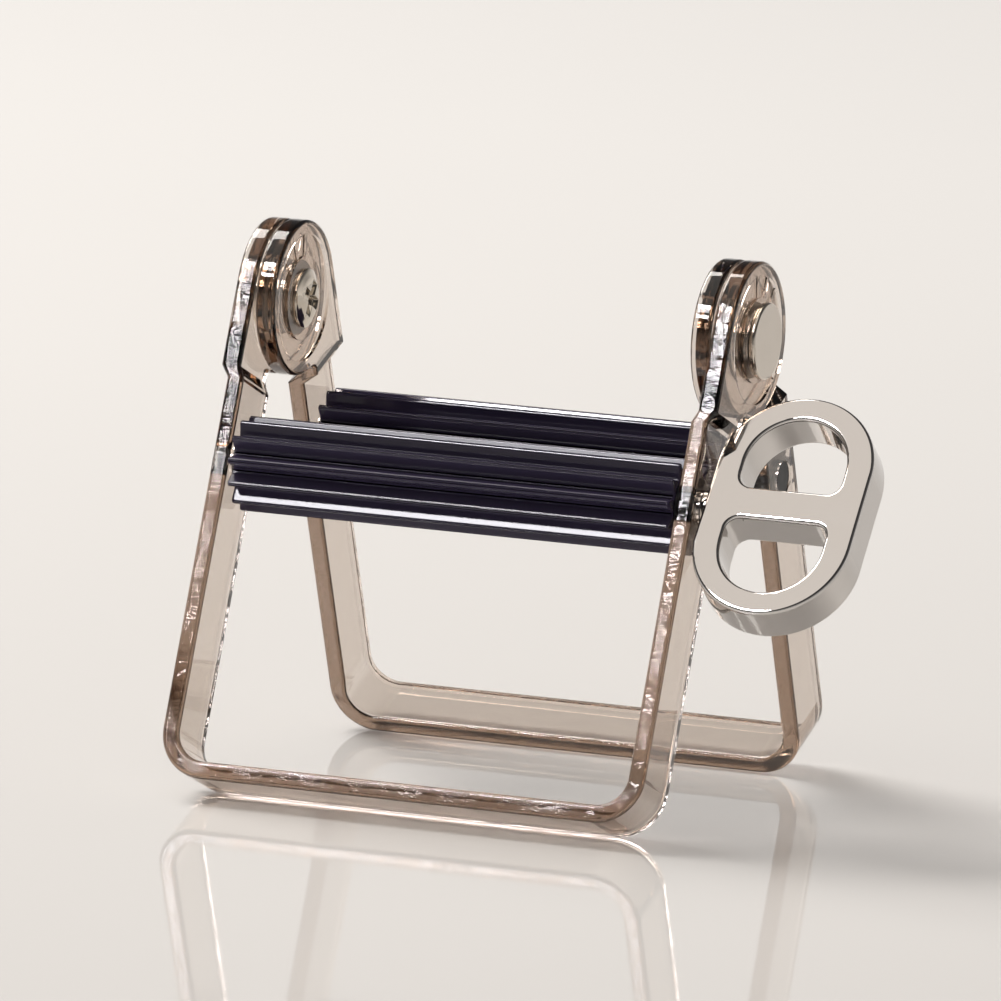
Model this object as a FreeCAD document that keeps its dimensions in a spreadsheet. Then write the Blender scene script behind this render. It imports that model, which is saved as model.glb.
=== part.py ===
"""Folding tube squeezer for toothpaste.

Two clear frames stand as an A on a lapped hinge. Each carries a fluted roller between its legs, and
a key outside the front frame's right leg turns the front roller.

X runs along the rollers, Y from front to back and Z up. The origin lies on the table under the
middle of the object's width and depth. Lengths are in millimetres and angles in degrees.
"""
import FreeCAD
import Part
import Sketcher
import math
import os
import re

# Driving dimensions

SIZES = {
    # Frames: a flat strip bent to a U, with its depth square to the frame's plane
    "frame_width": 72.0,
    "leg_wall": 2.5,
    "bar_wall": 2.5,
    "strip_depth": 10.5,
    "leg_length": 71.8,
    "corner_inner_radius": 4.25,
    "lean": 22.0,
    "edge_radius": 0.6,
    "foot_land": 0.8,
    # Lapped ears: the front frame's ears lie outboard of the rear frame's
    "hinge_offset": 0.5,
    "lap_setback": 1.8,
    "lap_gap": 0.2,
    "ear_wall": 2.9,
    "ear_root_radius": 1.2,
    "shoulder_drop": 13.0,
    "shoulder_height": 1.7,
    "ring_outer_radius": 9.1,
    "ring_inner_radius": 6.0,
    "ring_depth": 0.45,
    "rib_width": 0.7,
    "rib_height": 0.3,
    "rib_pitch": 24.0,
    # Fluted rollers
    "roller_offset": 5.95,
    "roller_drop": 25.7,
    "roller_tip_radius": 6.65,
    "roller_root_radius": 4.7,
    "flute_count": 12,
    "flute_land": 0.7,
    "flute_root_width": 0.5,
    "roller_end_gap": 0.5,
    "roller_bore": 6.6,
    "front_roller_turn": 3.5,
    "rear_roller_turn": 0.5,
    # End plugs that carry the rollers in the legs
    "plug_depth": 8.0,
    "collar_diameter": 8.4,
    "collar_play": 0.2,
    "journal_diameter": 5.0,
    "journal_setback": 0.1,
    "tenon_width": 3.0,
    "tenon_length": 9.5,
    # Winding key
    "key_gap": 0.9,
    "key_width": 22.7,
    "key_length": 34.6,
    "key_thickness": 6.5,
    "key_side_rim": 3.95,
    "key_end_rim": 3.6,
    "key_bar": 5.0,
    "key_corner_radius": 2.0,
    "key_edge_radius": 0.6,
    "key_boss_diameter": 5.4,
    "key_boss_gap": 0.25,
    "key_lean": 39.2,
    # Hinge hardware
    "barrel_diameter": 7.0,
    "cap_diameter": 10.8,
    "cap_thickness": 0.9,
    "cap_chamfer": 0.2,
    "cap_neck_diameter": 8.0,
    "cap_neck_length": 0.6,
    "screw_head_diameter": 8.4,
    "screw_head_thickness": 1.05,
    "screw_head_bevel_width": 1.6,
    "screw_head_bevel_height": 0.65,
    "screw_turn_angle": 28.0,
    "screw_shank_diameter": 4.0,
    "screw_shank_length": 4.6,
    "screw_thread_depth": 5.0,
    "recess_length": 5.0,
    "recess_width": 1.6,
    "recess_depth": 0.8,
    "recess_draft_angle": 15.0,
    "head_gap": 0.05,
    "friction_washer_diameter": 10.6,
    "friction_seat_depth": 0.4,
    "spring_washer_diameter": 10.0,
    "spring_washer_thickness": 0.3,
    # Fits
    "running_clearance": 0.05,
    "seat_clearance": 0.03,
    "cut_overrun": 2.0,
}

# Sizes worked out from the driving ones

WORKED = {
    "leg_out": "frame_width / 2",
    "leg_in": "leg_out - leg_wall",
    "lap_plane": "leg_out - lap_setback",
    "front_ear_in": "lap_plane + lap_gap / 2",
    "front_ear_out": "front_ear_in + ear_wall",
    "rear_ear_out": "lap_plane - lap_gap / 2",
    "rear_ear_in": "rear_ear_out - ear_wall",
    "ear_radius": "hinge_offset + strip_depth",
    "corner_outer_radius": "corner_inner_radius + leg_wall",
    "shoulder_foot": "shoulder_drop + shoulder_height",
    "hinge_height": "leg_length * cos(lean) - (hinge_offset + foot_land * cos(lean)) * sin(lean)",
    "roller_reach": "roller_drop * sin(lean) + roller_offset * cos(lean)",
    "roller_height": "hinge_height - roller_drop * cos(lean) + roller_offset * sin(lean)",
    "roller_end": "leg_in - roller_end_gap",
    "land_half_angle": "asin(flute_land / 2 / roller_tip_radius) / 1 deg",
    "flute_half_angle": "180 / flute_count - land_half_angle",
    "flute_mouth": "roller_tip_radius * sin(flute_half_angle)",
    "flute_top": "roller_tip_radius * cos(flute_half_angle)",
    "flute_slope": "(flute_mouth - flute_root_width / 2) / (flute_top - roller_root_radius)",
    "collar_end": "roller_end + roller_end_gap - collar_play",
    "key_near": "leg_out + key_gap",
    "key_far": "key_near + key_width",
    "key_middle": "key_near + key_width / 2",
    "key_boss_near": "leg_out + key_boss_gap",
    "hole_width": "key_width - 2 * key_side_rim",
    "hole_length": "key_length - 2 * key_end_rim",
    "barrel_end": "rear_ear_in - head_gap",
    "cap_near": "front_ear_out + cap_neck_length",
    "cap_far": "cap_near + cap_thickness",
    "head_far": "barrel_end - screw_head_thickness",
    "row_shift": "(key_far - cap_far) / 2",
}

RIB_STEPS = (-1, 0, 1)
SIDES = {"left": -1, "right": 1}
FRONT, REAR = -1, 1
NEAR = 1e-6

doc = FreeCAD.newDocument("tube_squeezer")
sheet = doc.addObject("Spreadsheet::Sheet", "Sizes")
worked = doc.addObject("Spreadsheet::Sheet", "Worked")


def formula(text, worked_lead="Worked."):
    """An expression with each size's name led by the sheet that holds it."""
    def lead(match):
        word = match.group(0)
        if word in SIZES:
            return "Sizes." + word
        return worked_lead + word if word in WORKED else word
    return re.sub(r"[a-z][a-z_]*", lead, text)


def fill_sheets():
    for row, (name, number) in enumerate(SIZES.items(), 1):
        sheet.set("A%d" % row, name)
        sheet.set("B%d" % row, str(number))
        sheet.setAlias("B%d" % row, name)
    doc.recompute()
    for row, (name, text) in enumerate(WORKED.items(), 1):
        worked.set("A%d" % row, name)
        worked.set("B%d" % row, "=" + formula(text, worked_lead=""))
        worked.setAlias("B%d" % row, name)
    doc.recompute()


def value(text):
    """The number that an expression gives now."""
    return float(sheet.evalExpression(formula(text)))


def bind(thing, name, text):
    thing.setExpression(name, formula(text))


# Sketches

def new_body(label):
    body = doc.addObject("PartDesign::Body", label)
    body.Label = label
    return body


def origin_plane(body, role):
    return next(plane for plane in body.Origin.OriginFeatures if plane.Role == role)


def sketch_on(body, name, role, offset="0"):
    """A sketch on one of the body's own planes, moved along the plane's normal by an expression."""
    sketch = body.newObject("Sketcher::SketchObject", body.Label + "_" + name)
    sketch.AttachmentSupport = [(origin_plane(body, role), "")]
    sketch.MapMode = "FlatFace"
    bind(sketch, "AttachmentOffset.Base.z", offset)
    return sketch


def hold_point(sketch, geometry, position, across, up):
    """Ties one point of a sketch to the expressions of its two coordinates."""
    for kind, text in (("DistanceX", across), ("DistanceY", up)):
        index = sketch.addConstraint(Sketcher.Constraint(kind, geometry, position, value(text)))
        bind(sketch, "Constraints[%d]" % index, text)


def outline(sketch, corners):
    """A closed outline of straight lines through corners, each a pair of expressions."""
    points = [FreeCAD.Vector(value(across), value(up), 0) for across, up in corners]
    first = sketch.GeometryCount
    count = len(points)
    for index, point in enumerate(points):
        sketch.addGeometry(Part.LineSegment(point, points[(index + 1) % count]))
    for index, (across, up) in enumerate(corners):
        following = first + (index + 1) % count
        sketch.addConstraint(Sketcher.Constraint("Coincident", first + index, 2, following, 1))
        hold_point(sketch, first + index, 1, across, up)


def rectangle(sketch, left, low, right, high):
    outline(sketch, ((left, low), (right, low), (right, high), (left, high)))


def circle(sketch, radius, across="0", up="0"):
    centre = FreeCAD.Vector(value(across), value(up), 0)
    index = sketch.addGeometry(Part.Circle(centre, FreeCAD.Vector(0, 0, 1), value(radius)))
    hold_point(sketch, index, 3, across, up)
    held = sketch.addConstraint(Sketcher.Constraint("Radius", index, value(radius)))
    bind(sketch, "Constraints[%d]" % held, radius)


def obround(sketch, across, width, length):
    """An upright outline with two straight sides and round ends, centred on the sketch's X axis."""
    middle, radius, rise = value(across), value(width) / 2, (value(length) - value(width)) / 2
    up = FreeCAD.Vector(0, 0, 1)
    arcs = []
    for height, start in ((rise, 0.0), (-rise, math.pi)):
        ring = Part.Circle(FreeCAD.Vector(middle, height, 0), up, radius)
        arcs.append(sketch.addGeometry(Part.ArcOfCircle(ring, start, start + math.pi)))
    top, foot = arcs
    left = sketch.addGeometry(Part.LineSegment(
        FreeCAD.Vector(middle - radius, rise, 0), FreeCAD.Vector(middle - radius, -rise, 0)))
    right = sketch.addGeometry(Part.LineSegment(
        FreeCAD.Vector(middle + radius, -rise, 0), FreeCAD.Vector(middle + radius, rise, 0)))
    for one, one_end, other, other_end in ((top, 2, left, 1), (left, 2, foot, 1),
                                           (foot, 2, right, 1), (right, 2, top, 1)):
        sketch.addConstraint(Sketcher.Constraint("Tangent", one, one_end, other, other_end))
    held = sketch.addConstraint(Sketcher.Constraint("Radius", top, radius))
    bind(sketch, "Constraints[%d]" % held, "(%s) / 2" % width)
    sketch.addConstraint(Sketcher.Constraint("Equal", top, foot))
    hold_point(sketch, top, 3, across, "(%s - %s) / 2" % (length, width))
    hold_point(sketch, foot, 3, across, "(%s - %s) / 2" % (width, length))


# Features

def pad(body, sketch, name, length, reverse=False, middle=False):
    feature = body.newObject("PartDesign::Pad", body.Label + "_" + name)
    feature.Profile = sketch
    bind(feature, "Length", length)
    feature.Reversed = reverse
    feature.SideType = "Symmetric" if middle else "One side"
    doc.recompute()
    return feature


def pocket(body, sketch, name, depth=None, reverse=False):
    """A cut of a given depth, or right through both ways where no depth is given."""
    before = body.Shape.Volume
    feature = body.newObject("PartDesign::Pocket", body.Label + "_" + name)
    feature.Profile = sketch
    if depth is None:
        feature.Type = "ThroughAll"
        feature.SideType = "Symmetric"
    else:
        bind(feature, "Length", depth)
        feature.Reversed = reverse
    doc.recompute()
    if body.Shape.Volume >= before:
        raise RuntimeError("cut takes nothing: " + feature.Label)
    return feature


def mirror(body, features, name):
    """A copy of features on the other side of the body's YZ plane."""
    feature = body.newObject("PartDesign::Mirrored", body.Label + "_" + name)
    feature.Originals = features
    feature.MirrorPlane = (origin_plane(body, "YZ_Plane"), [""])
    body.Tip = feature
    doc.recompute()
    return feature


def round_edges(body, name, radius, wanted):
    """A fillet along the edges of the body for which wanted(edge) holds."""
    base = body.Tip
    edges = ["Edge%d" % number for number, edge in enumerate(base.Shape.Edges, 1) if wanted(edge)]
    feature = body.newObject("PartDesign::Fillet", body.Label + "_" + name)
    feature.Base = (base, edges)
    bind(feature, "Radius", radius)
    doc.recompute()
    return feature


def edge_at(corners):
    """A test for straight edges along Y that pass through one of the X and Z corners."""
    places = [(value(across), value(up)) for across, up in corners]

    def wanted(edge):
        start, end = edge.Vertexes[0].Point, edge.Vertexes[-1].Point
        span = FreeCAD.Vector(end.x - start.x, 0, end.z - start.z)
        near = any(FreeCAD.Vector(start.x - x, 0, start.z - z).Length < NEAR for x, z in places)
        return span.Length < NEAR and near
    return wanted


def ear_root(side):
    """A test for the inner corners along X where a round ear meets the straight back of its leg."""
    back = side * value("hinge_offset")
    drop = value("sqrt(ear_radius ^ 2 - hinge_offset ^ 2)")

    def wanted(edge):
        ends = [vertex.Point for vertex in edge.Vertexes]
        return len(ends) == 2 and all(abs(end.y - back) < NEAR and abs(end.z + drop) < NEAR for end in ends)
    return wanted


def rim(edge):
    """True for an edge that runs along the strip or round an ear, and not across its narrow face."""
    along = edge.tangentAt((edge.FirstParameter + edge.LastParameter) / 2)
    across = abs(along.x) > 1 - NEAR and edge.CenterOfMass.z > -value("shoulder_foot")
    return not across and abs(along.y) < 1 - NEAR


def turned(label, corners, side):
    """A body turned about X: corners are pairs of X and radius, and side mirrors X."""
    body = new_body(label)
    sketch = sketch_on(body, "section", "XZ_Plane")
    outline(sketch, [("%d * (%s)" % (side, across), radius) for across, radius in corners])
    feature = body.newObject("PartDesign::Revolution", label + "_turn")
    feature.Profile = sketch
    feature.ReferenceAxis = (sketch, ["H_Axis"])
    doc.recompute()
    return body


def place(body, across, up, turn="0"):
    """Sets a body on an axis along X at a depth and height, turned about that axis."""
    bind(body, "Placement", "placement(vector(-row_shift; %s; %s); rotation(vector(1; 0; 0); %s))"
         % (across, up, turn))


# Frames

def frame(label, side, ear_in, ear_out, ring_face, ring_floor, bore_clearance):
    """One frame, hanging from the hinge axis: side is -1 where the strip lies to the front of it."""
    body = new_body(label)
    strip = sketch_on(body, "strip", "XZ_Plane", "%d * hinge_offset" % -side)
    half = [("leg_out", "-leg_length"), ("leg_out", "-shoulder_foot"), (ear_out, "-shoulder_drop"),
            (ear_out, "0"), (ear_in, "0"), (ear_in, "-shoulder_drop"), ("leg_in", "-shoulder_foot"),
            ("leg_in", "bar_wall - leg_length")]
    outline(strip, half + [("-" + across, up) for across, up in reversed(half)])
    pad(body, strip, "strip_pad", "strip_depth", reverse=side == REAR)
    round_edges(body, "outer_corners", "corner_outer_radius",
                edge_at((("leg_out", "-leg_length"), ("-leg_out", "-leg_length"))))
    round_edges(body, "inner_corners", "corner_inner_radius",
                edge_at((("leg_in", "bar_wall - leg_length"), ("-leg_in", "bar_wall - leg_length"))))

    disc = sketch_on(body, "ear", "YZ_Plane", ear_in)
    circle(disc, "ear_radius")
    ear = pad(body, disc, "ear_pad", "ear_wall")
    mirror(body, [ear], "ears")
    round_edges(body, "ear_roots", "ear_root_radius", ear_root(side))
    round_edges(body, "rims", "edge_radius", rim)

    outboard = ring_face == ear_out
    ring = sketch_on(body, "ring", "YZ_Plane", ring_face)
    circle(ring, "ring_outer_radius")
    circle(ring, "ring_inner_radius")
    recess = pocket(body, ring, "ring_cut", "ring_depth", reverse=not outboard)
    ribs = sketch_on(body, "ribs", "YZ_Plane", ring_floor)
    for step in RIB_STEPS:
        outline(ribs, rib_corners(step))
    fan = pad(body, ribs, "rib_pad", "rib_height", reverse=not outboard)
    mirror(body, [recess, fan], "rings")

    seat_face = ear_in if outboard else ear_out
    seat = sketch_on(body, "washer_seat", "YZ_Plane", seat_face)
    circle(seat, "friction_washer_diameter / 2 + running_clearance")
    counterbore = pocket(body, seat, "washer_cut", "friction_seat_depth", reverse=outboard)
    mirror(body, [counterbore], "washer_seats")

    bore = sketch_on(body, "hinge_bore", "YZ_Plane")
    circle(bore, "barrel_diameter / 2 + " + bore_clearance)
    pocket(body, bore, "hinge_cut")
    bearing = sketch_on(body, "bearing", "YZ_Plane")
    circle(bearing, "journal_diameter / 2 + running_clearance", "%d * roller_offset" % side, "-roller_drop")
    pocket(body, bearing, "bearing_cut")

    land = sketch_on(body, "foot_land", "YZ_Plane")
    heel = "%d * (hinge_offset - cut_overrun * cos(lean))" % side
    toe = "%d * (hinge_offset + (foot_land + cut_overrun) * cos(lean))" % side
    sole = "-leg_length - cut_overrun * sin(lean)"
    rise = "(foot_land + cut_overrun) * sin(lean) - leg_length"
    outline(land, ((heel, sole), (toe, sole), (heel, rise)))
    pocket(body, land, "foot_cut")
    place(body, "0", "hinge_height", "%d * lean" % side)
    return body


def rib_corners(step):
    """The four corners of one click rib, a short spoke across the ring recess."""
    turn = "(%d * rib_pitch)" % step
    corners = []
    for radius, half in (("ring_inner_radius", -1), ("ring_outer_radius", -1),
                         ("ring_outer_radius", 1), ("ring_inner_radius", 1)):
        sidestep = "%d * rib_width / 2" % half
        corners.append(("%s * sin%s + %s * cos%s" % (radius, turn, sidestep, turn),
                        "%s * cos%s - %s * sin%s" % (radius, turn, sidestep, turn)))
    return corners


# Rollers

def roller(label, side, turn):
    """A fluted sleeve with a bore for its end plugs."""
    body = new_body(label)
    blank = sketch_on(body, "blank", "YZ_Plane")
    circle(blank, "roller_tip_radius")
    pad(body, blank, "blank_pad", "2 * roller_end", middle=True)
    groove = sketch_on(body, "flute", "YZ_Plane")
    mouth = "(flute_mouth + cut_overrun * flute_slope)"
    top = "flute_top + cut_overrun"
    outline(groove, (("-flute_root_width / 2", "roller_root_radius"),
                     ("flute_root_width / 2", "roller_root_radius"), (mouth, top), ("-" + mouth, top)))
    flute = pocket(body, groove, "flute_cut")
    ring = body.newObject("PartDesign::PolarPattern", label + "_flutes")
    ring.Originals = [flute]
    ring.Axis = (blank, ["N_Axis"])
    bind(ring, "Occurrences", "flute_count")
    body.Tip = ring
    doc.recompute()
    bore = sketch_on(body, "bore", "YZ_Plane")
    circle(bore, "roller_bore / 2")
    pocket(body, bore, "bore_cut")
    place(body, "%d * roller_reach" % side, "roller_height", turn)
    return body


def plug(label, side, hand, turn, journal_end="leg_out - journal_setback"):
    """An end plug: a stem in the roller's bore, a thrust collar and a journal in the leg."""
    stem, journal = "roller_bore / 2 - seat_clearance", "journal_diameter / 2"
    body = turned(label, (("roller_end - plug_depth", "0"), ("roller_end - plug_depth", stem),
                          ("roller_end", stem), ("roller_end", "collar_diameter / 2"),
                          ("collar_end", "collar_diameter / 2"), ("collar_end", journal),
                          (journal_end, journal), (journal_end, "0")), hand)
    place(body, "%d * roller_reach" % side, "roller_height", turn)
    return body


def drive_plug(label, side, turn):
    """The plug that the key turns: its journal ends in a square tenon."""
    journal_end = "key_boss_near - seat_clearance"
    body = plug(label, side, SIDES["right"], turn, journal_end)
    tenon = sketch_on(body, "tenon", "YZ_Plane", journal_end)
    rectangle(tenon, "-tenon_width / 2", "-tenon_width / 2", "tenon_width / 2", "tenon_width / 2")
    pad(body, tenon, "tenon_pad", "tenon_length")
    return body


# Winding key

def winding_key(label, side, turn):
    """A thick plate with round ends, two finger holes and a bar between them along the axis."""
    body = new_body(label)
    plate = sketch_on(body, "plate", "XZ_Plane")
    obround(plate, "key_middle", "key_width", "key_length")
    pad(body, plate, "plate_pad", "key_thickness", middle=True)
    hole = sketch_on(body, "hole", "XZ_Plane")
    obround(hole, "key_middle", "hole_width", "hole_length")
    pocket(body, hole, "hole_cut")
    bar = sketch_on(body, "bar", "XZ_Plane")
    rectangle(bar, "key_near + key_side_rim / 2", "-key_bar / 2", "key_far - key_side_rim / 2", "key_bar / 2")
    pad(body, bar, "bar_pad", "key_thickness", middle=True)
    hole_sides = ("key_near + key_side_rim", "key_far - key_side_rim")
    round_edges(body, "hole_corners", "key_corner_radius",
                edge_at([(across, up) for across in hole_sides for up in ("-key_bar / 2", "key_bar / 2")]))
    half = value("key_thickness / 2")
    round_edges(body, "face_edges", "key_edge_radius",
                lambda edge: all(abs(abs(end.Point.y) - half) < NEAR for end in edge.Vertexes))

    boss = sketch_on(body, "boss", "YZ_Plane", "key_boss_near")
    circle(boss, "key_boss_diameter / 2")
    pad(body, boss, "boss_pad", "key_gap - key_boss_gap + key_side_rim / 2")
    socket = sketch_on(body, "socket", "YZ_Plane", "key_boss_near")
    reach = "tenon_width / 2 + seat_clearance"
    rectangle(socket, "-(%s)" % reach, "-(%s)" % reach, reach, reach)
    pocket(body, socket, "socket_cut", "tenon_length", reverse=True)
    place(body, "%d * roller_reach" % side, "roller_height", turn)
    return body


# Hinge hardware

def hinge_cap(label, hand):
    """The outer half of a hinge pin: a disc on a neck, and a barrel through both ears."""
    thread = "screw_shank_diameter / 2 + seat_clearance"
    disc, neck, barrel = "cap_diameter / 2", "cap_neck_diameter / 2", "barrel_diameter / 2"
    body = turned(label, (("barrel_end", thread), ("barrel_end", barrel), ("front_ear_out", barrel),
                          ("front_ear_out", neck), ("cap_near", neck), ("cap_near", disc),
                          ("cap_far - cap_chamfer", disc), ("cap_far", disc + " - cap_chamfer"),
                          ("cap_far", "0"), ("barrel_end + screw_thread_depth", "0"),
                          ("barrel_end + screw_thread_depth", thread)), hand)
    place(body, "0", "hinge_height")
    return body


def hinge_screw(label, hand):
    """The inner half of a hinge pin: a bevelled head with a cross recess, and a shank in the barrel."""
    head, shank = "screw_head_diameter / 2", "screw_shank_diameter / 2"
    body = turned(label, (("head_far", "0"), ("head_far", head + " - screw_head_bevel_width"),
                          ("head_far + screw_head_bevel_height", head), ("barrel_end", head),
                          ("barrel_end", shank), ("barrel_end + screw_shank_length", shank),
                          ("barrel_end + screw_shank_length", "0")), hand)
    cross = sketch_on(body, "recess", "YZ_Plane", "%d * head_far" % hand)
    long, short = "recess_length / 2", "recess_width / 2"
    quarter = [(long, "-" + short), (long, short), (short, short), (short, long)]
    outline(cross, quarter + [("-" + short, long), ("-" + short, short), ("-" + long, short),
                              ("-" + long, "-" + short), ("-" + short, "-" + short),
                              ("-" + short, "-" + long), (short, "-" + long), (short, "-" + short)])
    recess = pocket(body, cross, "recess_cut", "recess_depth", reverse=hand == SIDES["right"])
    bind(recess, "TaperAngle", "-recess_draft_angle")
    place(body, "0", "hinge_height", "%d * screw_turn_angle" % hand)
    return body


def friction_washer(label, hand):
    """A flat ring between the lapped ears, seated in a counterbore of each."""
    near = "rear_ear_out - friction_seat_depth + running_clearance"
    far = "front_ear_in + friction_seat_depth - seat_clearance"
    inner, outer = "barrel_diameter / 2 + running_clearance", "friction_washer_diameter / 2"
    body = turned(label, ((near, inner), (far, inner), (far, outer), (near, outer)), hand)
    place(body, "0", "hinge_height")
    return body


def spring_washer(label, hand):
    """A dished ring round the cap's neck, between the cap's disc and the ear."""
    inner, outer = "cap_neck_diameter / 2 + running_clearance", "spring_washer_diameter / 2"
    ear, disc = "front_ear_out + seat_clearance", "cap_near - seat_clearance"
    body = turned(label, ((disc + " - spring_washer_thickness", inner), (disc, inner),
                          (ear + " + spring_washer_thickness", outer), (ear, outer)), hand)
    place(body, "0", "hinge_height")
    return body


def build():
    """Every piece, in the order in which it is put together."""
    front_turn, rear_turn, key_turn = "front_roller_turn", "rear_roller_turn", "-key_lean"
    bodies = [
        frame("front_frame", FRONT, "front_ear_in", "front_ear_out", "front_ear_out",
              "front_ear_out - ring_depth", "seat_clearance"),
        frame("rear_frame", REAR, "rear_ear_in", "rear_ear_out", "rear_ear_in",
              "rear_ear_in + ring_depth", "running_clearance"),
        roller("front_roller", FRONT, front_turn),
        plug("front_roller_left_plug", FRONT, SIDES["left"], front_turn),
        drive_plug("front_roller_drive_plug", FRONT, key_turn),
        roller("rear_roller", REAR, rear_turn),
        plug("rear_roller_left_plug", REAR, SIDES["left"], rear_turn),
        plug("rear_roller_right_plug", REAR, SIDES["right"], rear_turn),
        winding_key("winding_key", FRONT, key_turn),
    ]
    for name, hand in SIDES.items():
        bodies.append(hinge_cap(name + "_hinge_cap", hand))
        bodies.append(hinge_screw(name + "_hinge_screw", hand))
        bodies.append(friction_washer(name + "_friction_washer", hand))
        bodies.append(spring_washer(name + "_spring_washer", hand))
    return bodies


def export(bodies):
    doc.recompute()
    for thing in doc.Objects:
        if "Invalid" in thing.State or "Error" in thing.State:
            raise RuntimeError("failed: " + thing.Label)
    for body in bodies:
        if body.Shape.isNull() or not body.Shape.isValid() or len(body.Shape.Solids) != 1:
            raise RuntimeError("not one sound solid: " + body.Label)
    os.makedirs("parts", exist_ok=True)
    for body in bodies:
        body.Shape.exportStep(os.path.join("parts", body.Label + ".step"))
        box = body.Shape.BoundBox
        print("%-26s %9.1f mm3  X %6.2f to %6.2f  Y %6.2f to %6.2f  Z %6.2f to %6.2f" % (
            body.Label, body.Shape.Volume, box.XMin, box.XMax, box.YMin, box.YMax, box.ZMin, box.ZMax))


fill_sheets()
export(build())
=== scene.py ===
"""Looks of the folding tube squeezer.

Clear smoke frames, fluted rollers, a chrome key and hinge pins. Lengths are in metres, and counts of
waves are per metre.
"""

import logging
import math
from dataclasses import dataclass
from enum import Enum

import bmesh
import bpy
from mathutils import Matrix, Vector

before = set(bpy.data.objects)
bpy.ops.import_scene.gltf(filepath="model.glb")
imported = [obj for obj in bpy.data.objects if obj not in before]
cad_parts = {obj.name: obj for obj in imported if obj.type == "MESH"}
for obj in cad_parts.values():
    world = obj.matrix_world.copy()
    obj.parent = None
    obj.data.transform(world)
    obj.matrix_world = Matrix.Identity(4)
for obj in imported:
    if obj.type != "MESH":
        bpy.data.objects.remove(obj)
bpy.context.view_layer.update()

MM = 0.001
NOISE_MIDDLE = (0.3, 0.7)  # where most values of a noise lie
COOL_WHITE = (0.97, 0.95, 1.0)
MERGE_WITHIN = 1e-6
SHARP_EDGE = math.radians(30.0)
log = logging.getLogger("tube_squeezer")

Colour = tuple[float, float, float]
Socket = bpy.types.NodeSocket


class Side(Enum):
    """The two frames, by the way their strip lies from the hinge along Y."""

    FRONT = -1
    REAR = 1


class Hand(Enum):
    """The two ends of the hinge."""

    LEFT = "left"
    RIGHT = "right"


class Slot(Enum):
    """The record's material slots."""

    CLEAR = "clear_smoke"
    ROLLER = "roller_black"
    PLUG = "plug_black"
    KEY = "key_chrome"
    HINGE = "hinge_chrome"
    NYLON = "washer_nylon"
    SPRING = "spring_steel"


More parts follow.
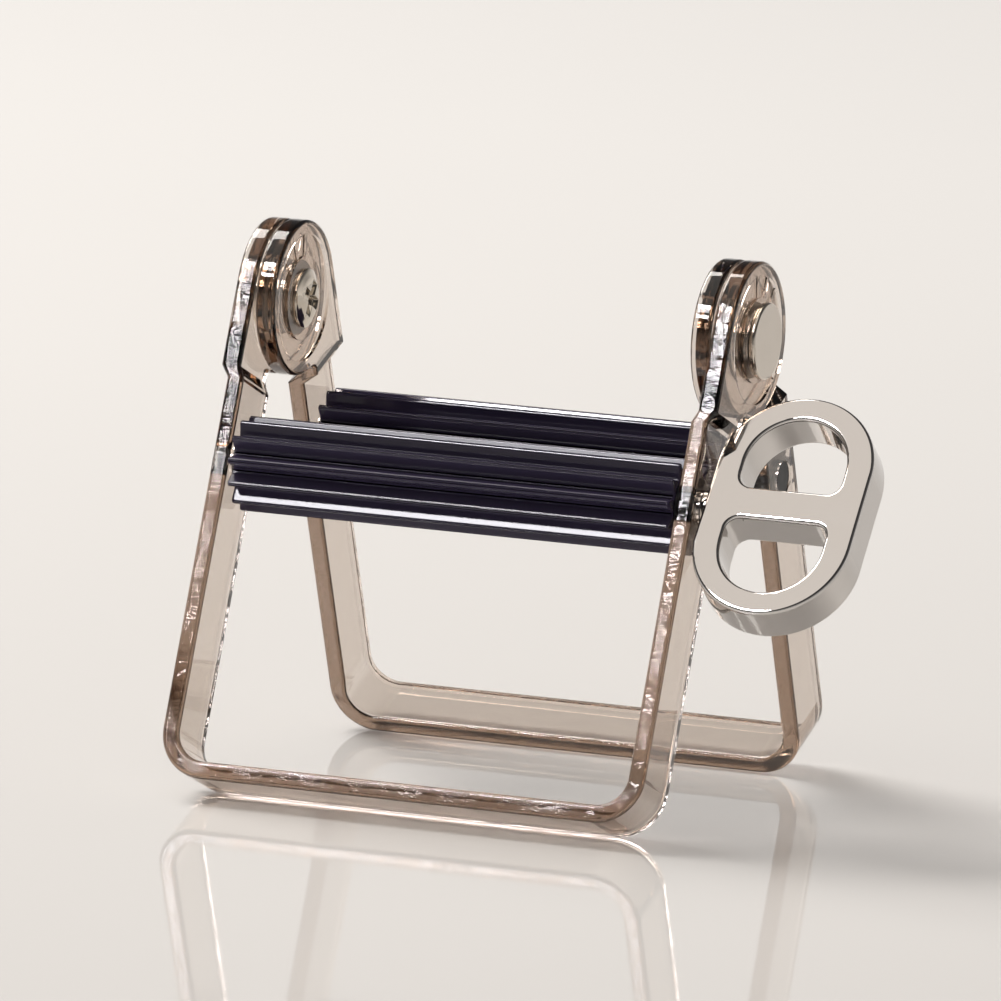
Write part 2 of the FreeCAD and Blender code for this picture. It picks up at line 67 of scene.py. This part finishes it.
class Recipe:
    """A material's node tree while it is wired together."""

    MIX_SHARE, MIX_ONE, MIX_OTHER, MIX_RESULT = 0, 6, 7, 2

    def __init__(self, name: str) -> None:
        """Starts an empty tree with its output.

        Args:
            name: the material's name.
        """
        self.material = bpy.data.materials.new(name)
        self.material.use_nodes = True
        self.tree = self.material.node_tree
        self.tree.nodes.clear()
        self.output = self.add("ShaderNodeOutputMaterial")

    def add(self, kind: str, settings: dict | None = None, **inputs: object) -> bpy.types.Node:
        """Adds one node.

        Args:
            kind: the node's type.
            settings: properties of the node itself.
            inputs: input values or sockets to link, by input name with spaces as underscores.

        Returns:
            The new node.
        """
        node = self.tree.nodes.new(kind)
        for name, setting in (settings or {}).items():
            setattr(node, name, setting)
        for name, given in inputs.items():
            socket = node.inputs[name.replace("_", " ")]
            if isinstance(given, bpy.types.NodeSocket):
                self.tree.links.new(given, socket)
            else:
                socket.default_value = (*given, 1.0) if socket.type == "RGBA" else given
        return node

    def place(self, location: Vector | None = None, turn: float = 0.0,
              scale: tuple[float, float, float] = (1.0, 1.0, 1.0)) -> Socket:
        """Object coordinates seen from a point, turned about X and stretched.

        Args:
            location: the point that becomes the origin.
            turn: the turn about X of the new axes, in radians.
            scale: what one unit of each new axis is, in metres.

        Returns:
            The coordinates.
        """
        coordinates = self.add("ShaderNodeTexCoord").outputs["Object"]
        mapping = self.add("ShaderNodeMapping", {"vector_type": "TEXTURE"}, Vector=coordinates,
                           Location=location or Vector(), Rotation=(turn, 0.0, 0.0), Scale=scale)
        return mapping.outputs["Vector"]

    def noise(self, where: Socket, scale: float, detail: float = 3.0,
              roughness: float = 0.5) -> Socket:
        """Fractal noise.

        Args:
            where: the coordinates.
            scale: how many waves lie in one unit of them.
            detail: the number of octaves.
            roughness: how strong each finer octave is.

        Returns:
            The noise, about 0.5 on average.
        """
        node = self.add("ShaderNodeTexNoise", Vector=where, Scale=scale, Detail=detail,
                        Roughness=roughness)
        return node.outputs["Fac"]

    def spread(self, value: Socket, low: float, high: float, to_low: float,
               to_high: float) -> Socket:
        """Maps one range of a value smoothly to another.

        Args:
            value: the value.
            low: the start of its range.
            high: the end of its range.
            to_low: what the start becomes.
            to_high: what the end becomes.

        Returns:
            The mapped value.
        """
        node = self.add("ShaderNodeMapRange", {"interpolation_type": "SMOOTHSTEP"}, Value=value,
                        From_Min=low, From_Max=high, To_Min=to_low, To_Max=to_high)
        return node.outputs["Result"]

    def work(self, operation: str, *terms: Socket | float) -> Socket:
        """One calculation with two or three terms.

        Args:
            operation: the Math node's operation.
            terms: its terms, as values or sockets.

        Returns:
            The result.
        """
        node = self.add("ShaderNodeMath", {"operation": operation})
        for socket, term in zip(node.inputs, terms):
            if isinstance(term, bpy.types.NodeSocket):
                self.tree.links.new(term, socket)
            else:
                socket.default_value = term
        return node.outputs["Value"]

    def blend(self, share: Socket, one: Colour, other: Colour) -> Socket:
        """A colour between two.

        Args:
            share: 0 for the first colour and 1 for the second.
            one: the first colour.
            other: the second colour.

        Returns:
            The blended colour.
        """
        node = self.add("ShaderNodeMix", {"data_type": "RGBA"})
        self.tree.links.new(share, node.inputs[self.MIX_SHARE])
        node.inputs[self.MIX_ONE].default_value = (*one, 1.0)
        node.inputs[self.MIX_OTHER].default_value = (*other, 1.0)
        return node.outputs[self.MIX_RESULT]

    def bump(self, height: Socket, depth: float, strength: float = 1.0) -> Socket:
        """A normal tilted by a height.

        Args:
            height: the height, 0 to 1.
            depth: what a height of 1 is, in metres.
            strength: the share of the tilt that is used.

        Returns:
            The normal.
        """
        node = self.add("ShaderNodeBump", Height=height, Distance=depth, Strength=strength)
        return node.outputs["Normal"]

    def surface(self, **inputs: object) -> None:
        """Adds the main shader, with the given inputs, and links it to the output."""
        shader = self.add("ShaderNodeBsdfPrincipled", **inputs)
        self.tree.links.new(shader.outputs["BSDF"], self.output.inputs["Surface"])


@dataclass(frozen=True)
class ClearSmoke:
    """Clear smoke-tinted moulded plastic, with frosted narrow faces along the strip."""

    side: Side
    hinge_height: float = 66.107 * MM
    lean: float = math.radians(22.0)
    strip_near: float = 0.5 * MM
    strip_far: float = 11.0 * MM
    ear_foot: float = -12.0 * MM
    ear_fade: float = 1.0 * MM
    frost_start: float = 0.5 * MM
    frost_full: float = 0.2 * MM
    frost_roughness: float = 0.03
    body: Colour = (0.97, 0.95, 0.93)
    taken: Colour = (0.54, 0.385, 0.25)
    density: float = 192.0
    refraction: float = 1.5
    smooth: float = 0.012
    dull: float = 0.03
    grain_waves: float = 2000.0
    grain_share: float = 0.5
    patch_waves: float = 420.0
    patch_edges: tuple[float, float] = (0.35, 0.62)
    patch_least: float = 0.25
    long_waves: float = 130.0
    long_share: float = 0.5
    relief: float = 0.12 * MM

    def frosted(self, recipe: Recipe, local: Socket) -> Socket:
        """Where the narrow faces are.

        Args:
            recipe: the material.
            local: the frame's own coordinates, from the hinge axis.

        Returns:
            1 on the two narrow faces of the strip and 0 elsewhere.
        """
        parts = recipe.add("ShaderNodeSeparateXYZ", Vector=local)
        depth = recipe.work("MULTIPLY", parts.outputs["Y"], float(self.side.value))
        outer = recipe.spread(depth, self.strip_far - self.frost_start,
                              self.strip_far - self.frost_full, 0.0, 1.0)
        inner = recipe.spread(depth, self.strip_near + self.frost_start,
                              self.strip_near + self.frost_full, 0.0, 1.0)
        below = recipe.spread(parts.outputs["Z"], self.ear_foot,
                              self.ear_foot - self.ear_fade, 0.0, 1.0)
        return recipe.work("MAXIMUM", outer, recipe.work("MULTIPLY", inner, below))

    def material(self) -> bpy.types.Material:
        """Wires the finish together.

        Returns:
            The material.
        """
        recipe = Recipe(f"clear_smoke_{self.side.name.lower()}")
        hinge, turn = Vector((0.0, 0.0, self.hinge_height)), self.side.value * self.lean
        local = recipe.place(hinge, turn)
        frost = self.frosted(recipe, local)
        grain = recipe.noise(local, self.grain_waves, detail=2.0, roughness=0.6)
        patches = recipe.noise(local, self.patch_waves, detail=2.0)
        waves = recipe.noise(local, self.long_waves, detail=1.0)
        patchy = recipe.spread(patches, *self.patch_edges, self.patch_least, 1.0)
        sparkle = recipe.work("MULTIPLY", frost, patchy)
        rough = recipe.work("MULTIPLY_ADD", sparkle, self.frost_roughness,
                            recipe.spread(waves, *NOISE_MIDDLE, self.smooth, self.dull))
        height = recipe.work("MULTIPLY_ADD", recipe.work("MULTIPLY", grain, sparkle), self.grain_share,
                             recipe.work("MULTIPLY", waves, self.long_share))
        recipe.surface(Base_Color=self.body, Roughness=rough, IOR=self.refraction,
                       Transmission_Weight=1.0, Normal=recipe.bump(height, self.relief))
        fog = recipe.add("ShaderNodeVolumeAbsorption", Color=self.taken, Density=self.density)
        recipe.tree.links.new(fog.outputs["Volume"], recipe.output.inputs["Volume"])
        return recipe.material


@dataclass(frozen=True)
class FlutedBlack:
    """Blue-black plastic, smooth along the flutes, with a fine moulded grain."""

    name: str = "roller_black"
    dark: Colour = (0.032, 0.026, 0.056)
    pale: Colour = (0.046, 0.038, 0.074)
    smooth: float = 0.05
    dull: float = 0.085
    refraction: float = 1.36
    grain_waves: float = 3200.0
    cloud_waves: float = 260.0
    cloud_stretch: tuple[float, float, float] = (6.0, 1.0, 1.0)
    relief: float = 0.012 * MM
    relief_share: float = 0.5

    def material(self) -> bpy.types.Material:
        """Wires the finish together.

        Returns:
            The material.
        """
        recipe = Recipe(self.name)
        grain = recipe.noise(recipe.place(), self.grain_waves, roughness=0.6)
        cloud = recipe.noise(recipe.place(scale=self.cloud_stretch), self.cloud_waves)
        recipe.surface(Base_Color=recipe.blend(cloud, self.dark, self.pale), IOR=self.refraction,
                       Roughness=recipe.spread(cloud, *NOISE_MIDDLE, self.smooth, self.dull),
                       Normal=recipe.bump(grain, self.relief, self.relief_share))
        return recipe.material


@dataclass(frozen=True)
class PolishedChrome:
    """Bright plating over a die casting: faint waves under the polish and a trace of handling."""

    name: str
    bright: Colour = (0.62, 0.595, 0.575)
    hazed: Colour = (0.56, 0.54, 0.52)
    smooth: float = 0.035
    dull: float = 0.09
    ripple: float = 0.03 * MM
    ripple_share: float = 0.6
    ripple_waves: float = 210.0
    haze_waves: float = 190.0
    haze_edges: tuple[float, float] = (0.35, 0.7)

    def material(self) -> bpy.types.Material:
        """Wires the finish together.

        Returns:
            The material.
        """
        recipe = Recipe(self.name)
        where = recipe.place()
        haze = recipe.noise(where, self.haze_waves, detail=4.0, roughness=0.6)
        ripples = recipe.noise(where, self.ripple_waves, detail=1.0)
        recipe.surface(Base_Color=recipe.blend(haze, self.bright, self.hazed), Metallic=1.0,
                       Roughness=recipe.spread(haze, *self.haze_edges, self.smooth, self.dull),
                       Normal=recipe.bump(ripples, self.ripple, self.ripple_share))
        return recipe.material


@dataclass(frozen=True)
class PaleNylon:
    """Milky nylon with a fine grain."""

    name: str = "washer_nylon"
    clear: Colour = (0.78, 0.75, 0.71)
    milky: Colour = (0.86, 0.84, 0.80)
    smooth: float = 0.35
    dull: float = 0.5
    refraction: float = 1.53
    let_through: float = 0.6
    grain_waves: float = 1800.0
    relief: float = 0.02 * MM

    def material(self) -> bpy.types.Material:
        """Wires the finish together.

        Returns:
            The material.
        """
        recipe = Recipe(self.name)
        grain = recipe.noise(recipe.place(), self.grain_waves)
        recipe.surface(Base_Color=recipe.blend(grain, self.clear, self.milky), IOR=self.refraction,
                       Roughness=recipe.spread(grain, *NOISE_MIDDLE, self.smooth, self.dull),
                       Transmission_Weight=self.let_through, Normal=recipe.bump(grain, self.relief))
        return recipe.material


@dataclass(frozen=True)
class PolishedFloor:
    """A plain pale polished floor."""

    name: str = "pale_floor"
    shaded: Colour = (0.80, 0.785, 0.77)
    pale: Colour = (0.84, 0.825, 0.81)
    smooth: float = 0.03
    dull: float = 0.05
    refraction: float = 1.45
    cloud_waves: float = 3.0

    def material(self) -> bpy.types.Material:
        """Wires the finish together.

        Returns:
            The material.
        """
        recipe = Recipe(self.name)
        cloud = recipe.noise(recipe.place(), self.cloud_waves, detail=2.0)
        recipe.surface(Base_Color=recipe.blend(cloud, self.shaded, self.pale), IOR=self.refraction,
                       Roughness=recipe.spread(cloud, *NOISE_MIDDLE, self.smooth, self.dull))
        return recipe.material


def show(piece: bpy.types.Object, finish: bpy.types.Material, slot: Slot) -> None:
    """Gives a piece its finish, and reports it with the record's slot that it belongs to.

    Args:
        piece: the piece.
        finish: its material.
        slot: the record's slot.
    """
    piece.data.materials.clear()
    piece.data.materials.append(finish)
    log.info("%s: %s, %d faces", piece.name, slot.value, len(piece.data.polygons))


def soften(node: bpy.types.Object, width: float, segments: int = 2) -> None:
    """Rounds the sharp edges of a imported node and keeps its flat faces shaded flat.

    Args:
        node: the node.
        width: the width of the rounding, in metres.
        segments: how many faces each rounding has.
    """
    weld = node.modifiers.new("merged", "WELD")
    weld.merge_threshold = MERGE_WITHIN
    bevel = node.modifiers.new("rounded", "BEVEL")
    bevel.width = width
    bevel.segments = segments
    bevel.limit_method = "ANGLE"
    bevel.angle_limit = SHARP_EDGE
    bevel.use_clamp_overlap = False
    bevel.face_strength_mode = "FSTR_ALL"
    weighted = node.modifiers.new("shaded", "WEIGHTED_NORMAL")
    weighted.use_face_influence = True
    node.data.shade_smooth()


@dataclass
class ClearFrame:
    """One clear frame: a moulded strip with lapped ears, whose edges are rounded already."""

    side: Side

    @property
    def node(self) -> str:
        """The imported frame's name."""
        return f"{self.side.name.lower()}_frame"

    def dress(self) -> None:
        """Finishes the frame in clear smoke."""
        show(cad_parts[self.node], ClearSmoke(self.side).material(), Slot.CLEAR)


@dataclass
class FlutedRoller:
    """One roller with its end plugs."""

    side: Side
    land_rounding: float = 0.28 * MM
    plug_rounding: float = 0.12 * MM

    @property
    def node(self) -> str:
        """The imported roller's name."""
        return f"{self.side.name.lower()}_roller"

    @property
    def plugs(self) -> tuple[str, str]:
        """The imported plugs' names."""
        right = "drive_plug" if self.side is Side.FRONT else "right_plug"
        return f"{self.node}_left_plug", f"{self.node}_{right}"

    def dress(self, sleeve: bpy.types.Material, plug: bpy.types.Material) -> None:
        """Rounds and finishes the roller and its plugs.

        Args:
            sleeve: the roller's material.
            plug: the plugs' material.
        """
        soften(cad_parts[self.node], self.land_rounding)
        show(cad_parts[self.node], sleeve, Slot.ROLLER)
        for name in self.plugs:
            soften(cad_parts[name], self.plug_rounding)
            show(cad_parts[name], plug, Slot.PLUG)


@dataclass
class WindingKey:
    """The key outside the front frame's right leg."""

    node: str = "winding_key"

    def dress(self, finish: bpy.types.Material) -> None:
        """Finishes the key, whose edges are rounded already."""
        show(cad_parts[self.node], finish, Slot.KEY)


@dataclass
class HingePin:
    """The cap, screw and washers at one end of the hinge."""

    hand: Hand
    cap_rounding: float = 0.08 * MM
    screw_rounding: float = 0.06 * MM

    def dress(self, cap: bpy.types.Material, screw: bpy.types.Material, nylon: bpy.types.Material,
              steel: bpy.types.Material) -> None:
        """Rounds and finishes the pieces of the pin.

        Args:
            cap: the cap's material.
            screw: the screw's material.
            nylon: the friction washer's material.
            steel: the spring washer's material.
        """
        end = self.hand.value
        for name, width, finish in ((f"{end}_hinge_cap", self.cap_rounding, cap),
                                    (f"{end}_hinge_screw", self.screw_rounding, screw)):
            soften(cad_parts[name], width)
            show(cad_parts[name], finish, Slot.HINGE)
        show(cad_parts[f"{end}_friction_washer"], nylon, Slot.NYLON)
        show(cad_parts[f"{end}_spring_washer"], steel, Slot.SPRING)


@dataclass(frozen=True)
class Softbox:
    """A studio light, aimed at the object."""

    name: str
    place: tuple[float, float, float]
    width: float
    height: float
    watts: float
    colour: Colour = (1.0, 1.0, 1.0)
    glints_only: bool = False

    def build(self, target: Vector) -> None:
        """Hangs the light.

        Args:
            target: the point that it faces.
        """
        lamp = bpy.data.lights.new(self.name, "AREA")
        lamp.shape = "RECTANGLE"
        lamp.size = self.width
        lamp.size_y = self.height
        lamp.energy = self.watts
        lamp.color = self.colour
        box = bpy.data.objects.new(self.name, lamp)
        box.location = self.place
        box.rotation_euler = (target - box.location).to_track_quat("-Z", "Y").to_euler()
        box.visible_camera = False
        box.visible_diffuse = not self.glints_only
        bpy.context.scene.collection.objects.link(box)


@dataclass
class Studio:
    """Floor, light and camera."""

    floor_radius: float = 4.0
    floor_height: float = -0.1 * MM
    floor_corners: int = 96
    room_stops: tuple[tuple[float, Colour], ...] = (
        (0.0, (0.90, 0.87, 0.84)),
        (0.14, (0.72, 0.695, 0.67)),
        (0.32, (0.13, 0.125, 0.125)),
        (1.0, (0.05, 0.048, 0.05)),
    )
    room_depth: tuple[float, float] = (-0.9, 0.3)
    room_strength: tuple[float, float] = (0.4, 1.0)
    camera_place: tuple[float, float, float] = (0.593987, -1.503979, 0.310927)
    camera_yaw: float = math.radians(21.9104)
    camera_pitch: float = math.radians(9.4846)
    camera_roll: float = math.radians(1.9387)
    focal_pixels: float = 11741.80
    picture_pixels: float = 1001.0
    sensor: float = 36.0
    clip: tuple[float, float] = (0.05, 50.0)
    lamp_target: tuple[float, float, float] = (0.0, 0.0, 0.035)
    bounces: int = 20
    clear_bounces: int = 16
    boxes: tuple[Softbox, ...] = (
        Softbox("window", (-1.25, 0.45, 1.5), width=1.2, height=1.2, watts=43.0,
                colour=(1.0, 0.965, 0.92)),
        Softbox("overhead", (-0.45, -0.40, 1.5), width=2.0, height=2.0, watts=12.4,
                colour=(1.0, 0.93, 0.86)),
        Softbox("front", (-0.463, -0.904, 0.752), width=0.50, height=0.094, watts=5.9,
                colour=COOL_WHITE, glints_only=True),
        Softbox("band", (-0.455, -0.770, 0.870), width=0.35, height=0.085, watts=1.4,
                colour=COOL_WHITE, glints_only=True),
        Softbox("edges", (-0.455, -0.674, 0.946), width=0.25, height=0.10, watts=8.6,
                colour=COOL_WHITE, glints_only=True),
    )

    def floor(self) -> None:
        """Lays the floor."""
        shape = bmesh.new()
        bmesh.ops.create_circle(shape, cap_ends=True, radius=self.floor_radius,
                                segments=self.floor_corners,
                                matrix=Matrix.Translation((0.0, 0.0, self.floor_height)))
        mesh = bpy.data.meshes.new("pale_floor")
        shape.to_mesh(mesh)
        shape.free()
        piece = bpy.data.objects.new("pale_floor", mesh)
        bpy.context.scene.collection.objects.link(piece)
        mesh.materials.append(PolishedFloor().material())

    def world(self) -> None:
        """Surrounds the object with a soft room, bright behind it and darker overhead and in front."""
        room = bpy.data.worlds.new("soft_room")
        room.use_nodes = True
        nodes, links = room.node_tree.nodes, room.node_tree.links
        nodes.clear()
        way = nodes.new("ShaderNodeTexCoord")
        parts = nodes.new("ShaderNodeSeparateXYZ")
        ramp = nodes.new("ShaderNodeValToRGB")
        light = nodes.new("ShaderNodeBackground")
        output = nodes.new("ShaderNodeOutputWorld")
        links.new(way.outputs["Generated"], parts.inputs["Vector"])
        links.new(parts.outputs["Z"], ramp.inputs["Fac"])
        links.new(ramp.outputs["Color"], light.inputs["Color"])
        depth = nodes.new("ShaderNodeMapRange")
        limits = ("From Min", "From Max", "To Min", "To Max")
        for name, setting in zip(limits, (*self.room_depth, *self.room_strength)):
            depth.inputs[name].default_value = setting
        links.new(parts.outputs["Y"], depth.inputs["Value"])
        links.new(depth.outputs["Result"], light.inputs["Strength"])
        links.new(light.outputs["Background"], output.inputs["Surface"])
        for position, _ in self.room_stops[1:-1]:
            ramp.color_ramp.elements.new(position)
        for element, (position, colour) in zip(ramp.color_ramp.elements, self.room_stops):
            element.position = position
            element.color = (*colour, 1.0)
        bpy.context.scene.world = room

    def camera(self) -> None:
        """Sets the camera at the photograph's place."""
        yaw, pitch, roll = self.camera_yaw, self.camera_pitch, self.camera_roll
        ahead = Vector((-math.sin(yaw) * math.cos(pitch), math.cos(yaw) * math.cos(pitch),
                        -math.sin(pitch)))
        across = Vector((math.cos(yaw), math.sin(yaw), 0.0))
        up = across.cross(ahead)
        right = math.cos(roll) * across + math.sin(roll) * up
        top = math.cos(roll) * up - math.sin(roll) * across
        lens = bpy.data.cameras.new("camera")
        lens.sensor_width = self.sensor
        lens.lens = self.focal_pixels / self.picture_pixels * self.sensor
        lens.clip_start, lens.clip_end = self.clip
        camera = bpy.data.objects.new("camera", lens)
        turned = Matrix((right, top, -ahead)).transposed().to_4x4()
        camera.matrix_world = Matrix.Translation(self.camera_place) @ turned
        bpy.context.scene.collection.objects.link(camera)
        bpy.context.scene.camera = camera

    def build(self) -> None:
        """Builds the studio and sets how the picture is developed."""
        self.floor()
        self.world()
        self.camera()
        for box in self.boxes:
            box.build(Vector(self.lamp_target))
        scene = bpy.context.scene
        scene.view_settings.view_transform = "Standard"
        scene.cycles.max_bounces = self.bounces
        scene.cycles.transmission_bounces = self.bounces
        scene.cycles.transparent_max_bounces = self.clear_bounces


def main() -> None:
    """Dresses every piece and sets up the studio."""
    logging.basicConfig(level=logging.INFO, format="%(name)s: %(message)s")
    sleeve = FlutedBlack().material()
    plug = FlutedBlack("plug_black", dark=(0.006, 0.006, 0.008), pale=(0.012, 0.012, 0.015),
                       smooth=0.32, dull=0.45).material()
    cap = PolishedChrome("cap_chrome", bright=(0.64, 0.585, 0.52), hazed=(0.58, 0.53, 0.47),
                         smooth=0.08, dull=0.16, ripple=0.01 * MM).material()
    screw = PolishedChrome("screw_chrome", bright=(0.64, 0.58, 0.50), hazed=(0.54, 0.49, 0.42),
                           smooth=0.05, dull=0.12, ripple=0.01 * MM).material()
    steel = PolishedChrome("spring_steel", bright=(0.62, 0.60, 0.58), hazed=(0.52, 0.50, 0.48),
                           smooth=0.16, dull=0.26).material()
    nylon = PaleNylon().material()
    for side in Side:
        ClearFrame(side).dress()
        FlutedRoller(side).dress(sleeve, plug)
    WindingKey().dress(PolishedChrome("key_chrome").material())
    for hand in Hand:
        HingePin(hand).dress(cap, screw, nylon, steel)
    Studio().build()


if __name__ == "__main__":
    main()
